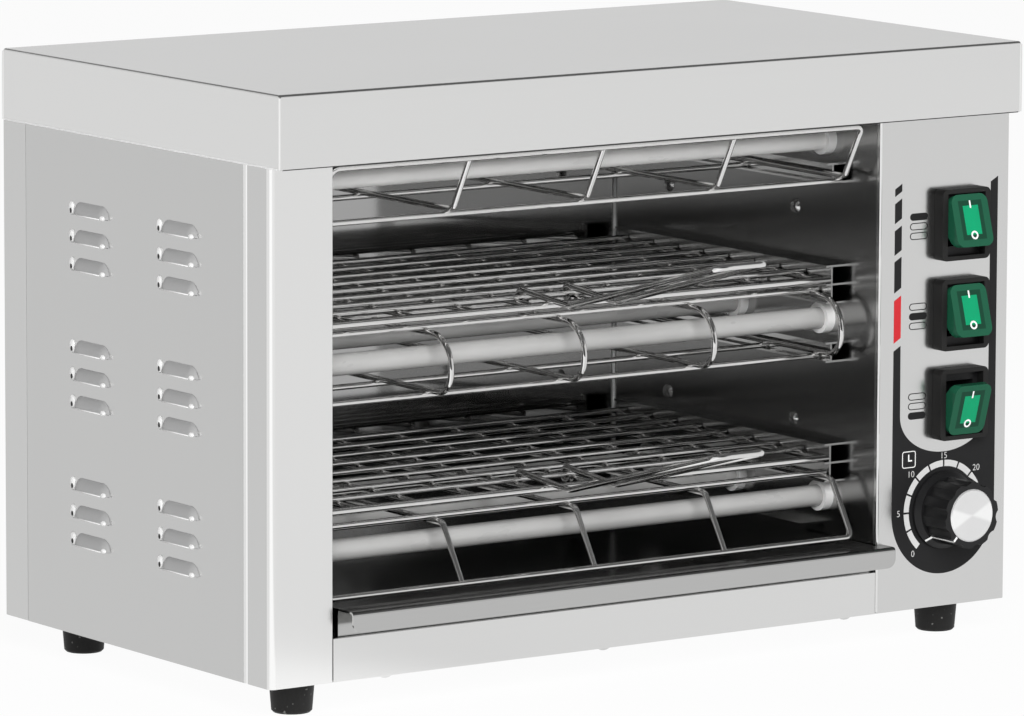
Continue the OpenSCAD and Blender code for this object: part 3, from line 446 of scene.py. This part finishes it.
def makePost():
    low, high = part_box("front_post")
    left, right, front, back = low[0] / mm, high[0] / mm, low[1] / mm, high[1] / mm
    bottom, top = low[2] / mm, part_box("top_cover")[0][2] / mm
    t, r, e, steps = post["sheet"], post["fold"], post["end"], post["steps"]
    stop = back - post["gap"]
    outline = [(right, front + t), (right, front + post["edge"]), (right - post["edge"], front)]
    outline += arc(left + r, front + r, r, 270, 180, steps)
    outline += arc(left + e, stop - e, e, 180, 90, steps)
    outline += [(left + t, stop)]
    outline += arc(left + r, front + r, r - t, 180, 270, steps)
    tongue = [(right, front + t), (right, front), (left + 2 * t, front), (left + 2 * t, front + t)]
    sheet = bmesh.new()
    upright(sheet, outline, bottom, top)
    upright(sheet, tongue, top, high[2] / mm)
    r, y, turn = post["panelFold"], back + post["seam"], 180 + post["panelTurn"]
    strip = arc(left + r, y, r, 180, turn, steps) + arc(left + r, y, r - t, turn, 180, steps)
    edge = bmesh.new()
    upright(edge, strip, bottom, top)
    for name, mesh in (("frontPost", sheet), ("sideFold", edge)):
        bmesh.ops.recalc_face_normals(mesh, faces=mesh.faces)
        piece = addPiece(name, mesh, postSteel, returnShadeSteel, foldHighlightSteel)
        # fold faces take the painted highlight steel, the return the painted shade steel, the rest the
        # post's own steel
        for face in piece.data.polygons:
            isReturn = face.normal.x < -post["squarely"]
            face.material_index = 2 if face.use_smooth else int(isReturn)
        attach(piece, "housing")
        if name == "frontPost":
            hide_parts("front_post")


makePost()

# ends of the louvres as painted highlights and painted shade: a pale bead where the cut stops, a pale
# upright fold at the other end with a dark slit of painted shade beside it, and the thin pale lip between;
# radii, and places outward, along and up
louvres = {
    "face": 224.5, "lip": 145.4, "groups": (-69, 0, 69), "rows": (-13.9, 0, 13.9),
    "ends": (72.5, 104.5), "columns": (0, -81.0),
    "bead": (1.0, 2.0, 1.3), "beadAt": (2.1, 3.0, 0.6),
    "fold": (0.9, 2.3, 3.2), "foldAt": (0.2, 2.4, 2.7),
    "slit": (0.3, 0.9, 1.4), "slitAt": (0.95, 2.1, 1.4),
    "lipRadius": 0.3, "lipOut": 2.95, "lipEnds": (4.5, -1.5), "lipSides": 8,
    "around": 16, "across": 10,
}


def makeLouvreEnds():
    ends, slits = bmesh.new(), bmesh.new()
    face, thin = louvres["face"], louvres["lipRadius"] * mm
    lay = Matrix.Rotation(math.pi / 2, 4, "X")

    def egg(mesh, kind, side, y, z):
        out, along, up = louvres[kind + "At"]
        at = Matrix.Translation((side * (face + out) * mm, (y + along) * mm, (z + up) * mm))
        size = Matrix.Diagonal((*(radius * mm for radius in louvres[kind]), 1))
        bmesh.ops.create_uvsphere(
            mesh, u_segments=louvres["around"], v_segments=louvres["across"], radius=1, matrix=at @ size)

    def lip(mesh, side, start, end, z):
        at = Matrix.Translation((side * (face + louvres["lipOut"]) * mm, (start + end) / 2 * mm, z * mm))
        size = Matrix.Diagonal((thin, (end - start) / 2 * mm, thin, 1))
        bmesh.ops.create_cone(
            mesh, cap_ends=True, segments=louvres["lipSides"], radius1=1, radius2=1, depth=2,
            matrix=at @ size @ lay)

    places = product((-1, 1), louvres["columns"], louvres["groups"], louvres["rows"])
    for side, column, group, row in places:
        z = louvres["lip"] + group + row
        front, back = (end + column for end in louvres["ends"])
        egg(ends, "bead", side, front, z)
        egg(ends, "fold", side, back, z)
        egg(slits, "slit", side, back, z)
        lip(ends, side, front + louvres["lipEnds"][0], back + louvres["lipEnds"][1], z)
    for name, mesh, material in (("louvreGlints", ends, highlightSteel), ("louvreSlitShade", slits, shadowSteel)):
        for polygon in mesh.faces:
            polygon.smooth = True
        piece = addPiece(name, mesh, material)
        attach(piece, "housing")


makeLouvreEnds()

# rolled edges that stand a hair proud, painted as highlights and a shadow: pale hems along the cover's
# sides, a dark line of painted shadow along its front, its four bright corners, the panel's bright fold
# beside the cavity, and pale seams where the cavity's side walls meet its back
trims = {
    "hem": 0.45, "hemIn": 0.15, "hemUp": 0.35, "hemEnd": 2,
    "front": 0.35, "frontIn": 0.3, "frontUp": 0.1,
    "fold": 0.8, "foldIn": 0.55, "foldFoot": 1, "cornerFrom": 0.3, "cornerTo": 1.4,
    "seam": 0.9, "seamOut": 0.3, "seamFoot": 1,
    "steps": 14, "spans": 8, "bow": 0.02,
}


# rod along a line, bowed slightly as rolled sheet is; the ends have points of their own
def rolled(mesh, start, end, radius):
    start, end = Vector(start), Vector(end)
    ahead = (end - start).normalized()
    side = ahead.orthogonal().normalized()
    up = ahead.cross(side)
    steps, spans = trims["steps"], trims["spans"]
    turns = [2 * math.pi * i / steps for i in range(steps)]
    ways = [side * math.cos(a) + up * math.sin(a) for a in turns]
    rings = []
    for k in range(spans + 1):
        at = start.lerp(end, k / spans)
        r = radius * (1 + trims["bow"] * math.sin(math.pi * k / spans))
        rings.append([mesh.verts.new((at + way * r) * mm) for way in ways])
    for near, far in zip(rings, rings[1:]):
        for i in range(steps):
            j = (i + 1) % steps
            mesh.faces.new((near[i], near[j], far[j], far[i])).smooth = True
    for ring in (rings[0], rings[-1]):
        mesh.faces.new([mesh.verts.new(v.co) for v in ring])


def makeTrims():
    hems, shade, fold, corners, seams = (bmesh.new() for _ in range(5))
    low, high = (Vector(p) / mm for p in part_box("top_cover"))
    end, z = trims["hemEnd"], low.z + trims["hemUp"]
    for x in (low.x + trims["hemIn"], high.x - trims["hemIn"]):
        rolled(hems, (x, low.y + end, z), (x, high.y - end, z), trims["hem"])
    y, z = low.y + trims["frontIn"], low.z + trims["frontUp"]
    rolled(shade, (low.x + end, y, z), (high.x - end, y, z), trims["front"])
    inset = trims["foldIn"]
    foot, head = low.z + trims["cornerFrom"], high.z - trims["cornerTo"]
    for x, y in product((low.x + inset, high.x - inset), (low.y + inset, high.y - inset)):
        rolled(corners, (x, y, foot), (x, y, head), trims["fold"])
    x, y, z = (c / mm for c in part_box("control_panel")[0])
    x, y = x + inset, y + inset
    rolled(fold, (x, y, z + trims["foldFoot"]), (x, y, low.z), trims["fold"])
    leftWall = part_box("cavity_left_wall")[1].x / mm + trims["seamOut"]
    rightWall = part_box("cavity_right_wall")[0].x / mm - trims["seamOut"]
    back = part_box("cavity_back_wall")[0].y / mm - trims["seamOut"]
    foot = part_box("crumb_tray")[1].z / mm + trims["seamFoot"]
    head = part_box("cavity_roof")[0].z / mm
    for x in (leftWall, rightWall):
        rolled(seams, (x, back, foot), (x, back, head), trims["seam"])
    rows = (
        ("coverHemHighlights", hems, highlightSteel), ("frontShadowLine", shade, shadowSteel), ("panelFold", fold, foldHighlightSteel),
        ("coverCorners", corners, foldHighlightSteel), ("cavitySeamHighlights", seams, highlightSteel),
    )
    for name, mesh, material in rows:
        bmesh.ops.recalc_face_normals(mesh, faces=mesh.faces)
        piece = addPiece(name, mesh, material)
        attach(piece, "housing")


makeTrims()
print("side: post, louvre ends and trims are on")


# crumb tray: painted shade, its upward faces are darkened in patches
tray = {
    "unshaded": 0.61, "shadedTop": 0.12, "upward": (0.5, 0.9), "patchy": (0.8, 1.0),
    "streak": (18, 2200, 2200), "streaky": (0.97, 1.03), "cloud": 14, "blue": 0.99, "rough": (0.13, 0.18),
}


def traySteel(w):
    up = w.node("NewGeometry", out="Normal").axis("Z")
    streak, cloud = w.noise(tray["streak"], 3, 0.6), w.noise(tray["cloud"], 3)
    upShade = up.smooth(*tray["upward"]) * cloud.between(*tray["patchy"])
    level = upShade.between(tray["unshaded"], tray["shadedTop"]) * streak.between(*tray["streaky"])
    return {
        "Base Color": w.node("CombineColor", values={0: level, 1: level, 2: level * tray["blue"]}),
        "Metallic": 1.0,
        "Roughness": streak.evenly(cloud).between(*tray["rough"]),
    }


# drawn wire of the guards and grates: broad clouds and fine scratches
wire = {
    "cloud": 60, "scratch": 900, "colours": ((0.80, 0.795, 0.785), (0.90, 0.895, 0.89)),
    "rough": (0.04, 0.11), "bump": (0.00002, 0.12),
    "nodes": [
        "top_guard", "middle_guard", "bottom_guard",
        "upper_grate", "lower_grate", "upper_handle", "lower_handle",
    ],
}


def brightWire(w):
    cloud, scratch = w.noise(wire["cloud"], 3), w.noise(wire["scratch"])
    return {
        "Base Color": cloud.tint(*wire["colours"]),
        "Metallic": 1.0,
        "Roughness": cloud.evenly(scratch).between(*wire["rough"]),
        "Normal": scratch.bump(*wire["bump"]),
    }


# milky quartz, cloudy along the tube; each level has its own tone as painted light: the tubes under the
# cover are painted palest
quartz = {
    "tone": {"top": 0.85, "middle": 0.395, "bottom": 0.42}, "swing": 0.13, "tinge": (1, 0.995, 0.98),
    "cloud": (30, 90, 90), "ripple": (300, 900, 900), "rough": (0.22, 0.36), "bump": (0.00002, 0.3),
    "coat": 0.4,
}


def milkyQuartz(level):
    def make(w):
        cloud = w.noise(quartz["cloud"], 3)
        return {
            "Base Color": cloud.tint(*shades(quartz["tone"][level], quartz["swing"], quartz["tinge"])),
            "Roughness": cloud.between(*quartz["rough"]),
            "Normal": w.noise(quartz["ripple"]).bump(*quartz["bump"]),
            "Coat Weight": quartz["coat"],
        }

    return finish(level + "Quartz", make)


wear(["crumb_tray"], finish("traySteel", traySteel))
wear(wire["nodes"], finish("brightWire", brightWire))
for level in quartz["tone"]:
    wear([level + "_tubes"], milkyQuartz(level))

ceramic = {
    "grain": 1400, "detail": 3, "colours": ((0.93, 0.925, 0.915), (0.98, 0.975, 0.97)),
    "rough": (0.42, 0.6), "bump": (0.00004, 0.3),
}
winding = {
    "grain": 800, "detail": 2, "colours": ((0.25, 0.24, 0.23), (0.4, 0.38, 0.36)),
    "rough": (0.4, 0.6), "metal": 1.0,
}
brass = {
    "grain": 300, "detail": 3, "colours": ((0.66, 0.5, 0.22), (0.78, 0.62, 0.32)),
    "rough": (0.25, 0.45), "metal": 1.0,
}
moulded = {
    "grain": 2600, "detail": 3, "colours": ((0.006, 0.006, 0.0065), (0.016, 0.016, 0.0165)),
    "rough": (0.3, 0.42), "gloss": 0.3, "bump": (0.00005, 0.35),
}
rubber = {
    "grain": 1800, "dust": 60, "detail": 3, "colours": ((0.006, 0.006, 0.006), (0.02, 0.0195, 0.019)),
    "rough": (0.42, 0.6), "gloss": 0.25, "bump": (0.00006, 0.4),
}
specks = {"grain": 620, "span": (0.8, 0.83), "colour": (0.14, 0.14, 0.135)}


# a few pale grains of dust
def specked(w, values):
    speck = w.noise(specks["grain"], 0).smooth(*specks["span"])
    values["Base Color"] = speck.tint(values["Base Color"], specks["colour"])
    return values


wear(["top_caps", "middle_caps", "bottom_caps", "terminal_block"], grained("whiteCeramic", ceramic))
wear(["heating_coils"], grained("dullWinding", winding))
wear(["terminal_studs", "bus_strips"], grained("plainBrass", brass))
bodyNodes = ["switch_body_%d" % row for row in (1, 2, 3)]
wear([*bodyNodes, "timer_body", "cord_gland", "gland_nut", "timer_knob"], grained("blackMoulded", moulded))
wear(["switch_boot_%d" % row for row in (1, 2, 3)], grained("blackRubber", rubber))
footNodes = ["foot_front_left", "foot_front_right", "foot_back_left", "foot_back_right"]
wear(footNodes, grained("footRubber", rubber, specked))

# lens of a rocker: a bright window, a darker rim round it and the two marks, in the rocker's own plane
lens = {
    "tilt": math.radians(16), "sides": (-1, -1, 1), "pivotOut": 3,
    "halfWide": 4.9, "top": 7.7, "low": -7.3, "rim": 2.6,
    "line": (6.4, 10.2, 0.45),  # from, to and half its width
    "ring": (-7.6, 1.3, 2.2),  # middle, inner and outer radius
    "bright": (0.003, 0.325, 0.142), "shade": (0.006, 0.048, 0.026), "border": (0.0116, 0.09, 0.048),
    "mark": (0.9, 0.9, 0.9), "cloud": 160, "cloudy": (0.85, 1), "rough": (0.14, 0.2), "gloss": 0.16,
}


def greenLens(row):
    low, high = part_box("switch_body_%d" % (row + 1))
    pivotX, pivotZ = (low[0] + high[0]) / 2, (low[2] + high[2]) / 2
    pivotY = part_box("control_panel")[0][1] - lens["pivotOut"] * mm
    turn = lens["sides"][row] * lens["tilt"]

    def make(w):
        x, y, z = (w.spot().axis(letter) for letter in "XYZ")
        across = (x - pivotX) / mm
        up = ((z - pivotZ) * math.cos(turn) - (y - pivotY) * math.sin(turn)) / mm

        def inside(grow):
            wide = abs(across) < lens["halfWide"] + grow
            return wide * (up < lens["top"] + grow) * (up > lens["low"] - grow)

        lowMark, highMark, halfLine = lens["line"]
        line = (abs(across) < halfLine) * (up > lowMark) * (up < highMark)
        ringAt, ringIn, ringOut = lens["ring"]
        apart = (across ** 2 + (up - ringAt) ** 2) ** 0.5
        ring = (apart > ringIn) * (apart < ringOut)
        cloud = w.noise(lens["cloud"])
        green = inside(lens["rim"]).tint(lens["border"], lens["shade"])
        green = (inside(0) * cloud.between(*lens["cloudy"])).tint(green, lens["bright"])
        return {
            "Base Color": (line + ring).tint(green, lens["mark"]),
            "Roughness": cloud.between(*lens["rough"]),
            "Specular IOR Level": lens["gloss"],
        }

    return finish("greenLens%d" % (row + 1), make)


# metal cap of the knob: turned rings, with pale sectors to the left and right that paint the spun finish's
# highlight
cap = {
    "colours": ((0.72, 0.72, 0.72), (0.97, 0.97, 0.97)), "metal": 0.55, "rough": (0.16, 0.26),
    "rings": 9000, "ringShare": 0.3, "bump": (0.00006, 0.8),
    "sectorWide": 0.45, "sectorLean": 0.1, "sectorEdge": (-0.001, 0.0012),
}


def spunCap(w):
    low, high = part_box("knob_cap")
    middle = ((low[0] + high[0]) / 2, 0, (low[2] + high[2]) / 2)
    apart = w.node("VectorMath", {"operation": "SUBTRACT"}, {0: w.spot(), 1: middle}, out="Vector")
    flat = w.node("VectorMath", {"operation": "MULTIPLY"}, {0: apart, 1: (1, 0, 1)}, out="Vector")
    radius = w.node("VectorMath", {"operation": "LENGTH"}, {0: flat}, out="Value")
    across, up = (apart.axis(letter) for letter in "XZ")
    # painted highlight: the pale left and right sectors
    sector = abs(across) * cap["sectorWide"] - abs(up - across * cap["sectorLean"])
    glint = sector.smooth(*cap["sectorEdge"])
    turned = {"W": radius * cap["rings"], "Scale": 1, "Detail": 2}
    ring = w.node("TexNoise", {"noise_dimensions": "1D"}, turned, out="Fac")
    mottle = ring * cap["ringShare"] + glint * (1 - cap["ringShare"])
    return {
        "Base Color": mottle.tint(*cap["colours"]),
        "Metallic": cap["metal"],
        "Roughness": ring.between(*cap["rough"]),
        "Normal": ring.bump(*cap["bump"]),
    }


for row in range(3):
    wear(["rocker_%d" % (row + 1)], greenLens(row))
wear(["knob_cap"], finish("spunCap", spunCap))
print("small parts: dressed")

# print on the control panel, in millimetres from the frame's middle
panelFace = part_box("control_panel")[0][1]
dialAt = (184.6, 66.5)
inks = {
    "black": (0.012, 0.012, 0.0125), "red": (0.47, 0.022, 0.028),
    "grey": (0.55, 0.55, 0.545), "white": (0.80, 0.80, 0.79),
    "paler": 1.25, "palerBy": 0.004,  # the palest grains
    "grain": 3000, "rough": (0.4, 0.52), "gloss": 0.15, "thick": 0.1,
}


def inkFinish(tone):
    colour = inks[tone]
    pale = tuple(min(1, c * inks["paler"] + inks["palerBy"]) for c in colour)
    return grained(tone + "Ink", {
        "grain": inks["grain"], "detail": 2, "colours": (colour, pale),
        "rough": inks["rough"], "gloss": inks["gloss"],
    })


blackInk, redInk, greyInk, whiteInk = (inkFinish(tone) for tone in ("black", "red", "grey", "white"))


# thin flat piece on the panel: filled outlines and bands between two outlines of equal length
def printed(name, material, outlines=(), bands=(), lift=0.0):
    mesh = bmesh.new()
    back = panelFace - lift * mm
    front = back - inks["thick"] * mm

    def loop(points, y):
        return [mesh.verts.new((x * mm, y, z * mm)) for x, z in points]

    for points in outlines:
        near, far = loop(points, front), loop(points, back)
        mesh.faces.new(near)
        for i in range(len(near)):
            j = (i + 1) % len(near)
            mesh.faces.new((near[i], far[i], far[j], near[j]))
    for outer, inner in bands:
        a, b = loop(outer, front), loop(inner, front)
        c, d = loop(outer, back), loop(inner, back)
        for i in range(len(a)):
            j = (i + 1) % len(a)
            mesh.faces.new((a[i], a[j], b[j], b[i]))
            mesh.faces.new((a[i], c[i], c[j], a[j]))
            mesh.faces.new((b[i], b[j], d[j], d[i]))
    bmesh.ops.recalc_face_normals(mesh, faces=mesh.faces)
    piece = addPiece(name, mesh, material)
    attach(piece, "housing")


# slanted stripes beside the cavity, and the dial's plate, which runs up into the right stripe
stripes = {
    "x": (151.6, 156.0), "slant": 2.6, "red": (154.3, 175.9),
    "black": ((229.0, 232.8), (215.2, 225.3), (199.1, 211.5), (179.9, 195.7)),
    "rightX": (213.0, 217.6), "rightTop": 232.7,
    "plateTop": 150.2, "plateHalf": 33.1, "plateSteps": 48,
    "hollow": (184.6, 116.3, 28.4, 20.0), "hollowSteps": 40,  # x, z, half its width and its depth
}


def slanted(span):
    left, right = stripes["x"]
    low, high = span
    rise = stripes["slant"]
    return [(left, low), (right, low + rise), (right, high + rise), (left, high)]


def makeStripes():
    printed("stripeMarks", blackInk, [slanted(span) for span in stripes["black"]])
    printed("stripeRed", redInk, [slanted(stripes["red"])])
    left, right = stripes["x"]
    innerRight, outerRight = stripes["rightX"]
    top, rightTop, rise = stripes["plateTop"], stripes["rightTop"], stripes["slant"]
    x, z, wide, deep = stripes["hollow"]
    plate = [(left, top), (right, top + rise)]
    plate += arc(x, z, wide, 180, 360, stripes["hollowSteps"], deep / wide)
    plate += [(innerRight, rightTop), (outerRight, rightTop + rise)]
    plate += arc(*dialAt, stripes["plateHalf"], 0, -180, stripes["plateSteps"])
    printed("dialPlate", blackInk, [plate])


# level signs beside the switches: three bars each, with the switch's own level filled
levels = {
    "tops": (217.9, 172.0, 126.0), "x": (161.3, 172.6), "high": 3.7, "pitch": 4.9, "line": 0.45,
    "bars": 3, "steps": 10,
}


def bar(z, inset=0.0):
    left, right = levels["x"]
    r = levels["high"] / 2 - inset
    left, right = left + inset + r, right - inset - r
    return arc(right, z, r, -90, 90, levels["steps"]) + arc(left, z, r, 90, 270, levels["steps"])


def makeLevels():
    filled, outlined = [], []
    for row, top in enumerate(levels["tops"]):
        for i in range(levels["bars"]):
            z = top - i * levels["pitch"]
            if i == row:
                filled.append(bar(z))
            else:
                outlined.append((bar(z), bar(z, levels["line"])))
    printed("levelMarks", blackInk, filled, outlined)


# dial: a broken ring whose last piece narrows to a point, and a clock's hands in a rounded square
dial = {
    "ring": (22.2, 25.4), "pieces": 9, "from": 225, "step": 22.5, "gap": 1.2,
    "start": 228, "end": 26, "steps": 8,
    "icon": (162.15, 94.0), "iconHalf": 4.3, "iconRound": 1.3, "iconLine": 0.4, "iconSteps": 5,
    "hands": ((-0.5, 2.6), (-0.5, -1.0), (2.0, -1.0), (2.0, -0.3), (0.2, -0.3), (0.2, 2.6)),
}


def roundedSquare(x, z, half, r):
    corners = ((1, -1, -90), (1, 1, 0), (-1, 1, 90), (-1, -1, 180))
    reach, steps = half - r, dial["iconSteps"]
    return [p for i, j, a in corners for p in arc(x + i * reach, z + j * reach, r, a, a + 90, steps)]


def makeDial():
    x, z = dialAt
    inner, outer = dial["ring"]
    last = dial["pieces"] - 1
    pieces = []
    for i in range(dial["pieces"]):
        turn = dial["from"] - i * dial["step"]
        begin = turn - dial["gap"] if i else dial["start"]
        end = turn - dial["step"] + dial["gap"] if i < last else dial["end"]
        rim = arc(x, z, outer, begin, end, dial["steps"])
        back = arc(x, z, inner, end, begin, dial["steps"])
        pieces.append(rim + (back if i < last else back[-1:]))
    printed("dialRing", greyInk, pieces, lift=inks["thick"])
    x, z = dial["icon"]
    half, r, line = dial["iconHalf"], dial["iconRound"], dial["iconLine"]
    square = (roundedSquare(x, z, half, r), roundedSquare(x, z, half - line, r - line))
    hands = [(x + right, z + up) for right, up in dial["hands"]]
    printed("timeMark", whiteInk, [hands], [square], lift=inks["thick"])


numbers = {
    "step": 5, "turns": (228, 180, 137, 90, 43), "radii": (28.8, 28.8, 28.8, 27.6, 28.8),
    "high": 4.7, "thin": 0.05,
}


def makeNumbers():
    x, z = dialAt
    y = panelFace - 1.5 * inks["thick"] * mm  # middle of the second layer of ink
    standing = Matrix.Rotation(math.pi / 2, 4, "X")
    for i, (angle, r) in enumerate(zip(numbers["turns"], numbers["radii"])):
        turn, number = math.radians(angle), i * numbers["step"]
        words = bpy.data.curves.new("number", "FONT")
        words.body = str(number)
        words.size = numbers["high"] * mm
        words.align_x = "CENTER"
        words.align_y = "CENTER"
        words.extrude = inks["thick"] / 2 * mm
        words.offset = -numbers["thin"] * mm
        text = bpy.data.objects.new("number", words)
        scene.collection.objects.link(text)
        at = ((x + r * math.cos(turn)) * mm, y, (z + r * math.sin(turn)) * mm)
        text.matrix_world = Matrix.Translation(at) @ standing
        bpy.context.view_layer.update()
        shaped = text.evaluated_get(bpy.context.evaluated_depsgraph_get())
        data = bpy.data.meshes.new_from_object(shaped)
        data.transform(text.matrix_world)
        bpy.data.objects.remove(text)
        piece = bpy.data.objects.new("dialNumber%d" % number, data)
        scene.collection.objects.link(piece)
        data.materials.clear()
        data.materials.append(greyInk)
        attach(piece, "housing")


makeStripes()
makeLevels()
makeDial()
makeNumbers()
print("panel: print and dial are on")

# white line on the knob: over the skirt, up the side and across the front rim,
# by distance from the knob's axis and from its back
pointer = {
    "angle": 228, "half": 0.55, "lift": 0.12,
    "path": ((19.9, 2.2), (17.6, 4.6), (17.0, 5.0), (17.0, 22.9), (13.9, 23.0)),
}


def makePointer():
    x, z = dialAt
    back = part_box("timer_knob")[1][1]
    turn = math.radians(pointer["angle"])
    out = Vector((math.cos(turn), 0, math.sin(turn)))
    side = Vector((-math.sin(turn), 0, math.cos(turn))) * pointer["half"] * mm
    mesh = bmesh.new()
    rows = []
    for r, deep in pointer["path"]:
        at = Vector((x * mm, back - deep * mm, z * mm)) + out * r * mm
        rows.append([mesh.verts.new(at - side), mesh.verts.new(at + side)])
    for a, b in zip(rows, rows[1:]):
        mesh.faces.new((a[0], a[1], b[1], b[0]))
    piece = addPiece("knobPointer", mesh, whiteInk)
    thick = piece.modifiers.new("thick", "SOLIDIFY")
    thick.thickness = 2 * pointer["lift"] * mm
    thick.offset = 0
    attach(piece, "timer_knob")


makePointer()
print("knob: pointer is on")
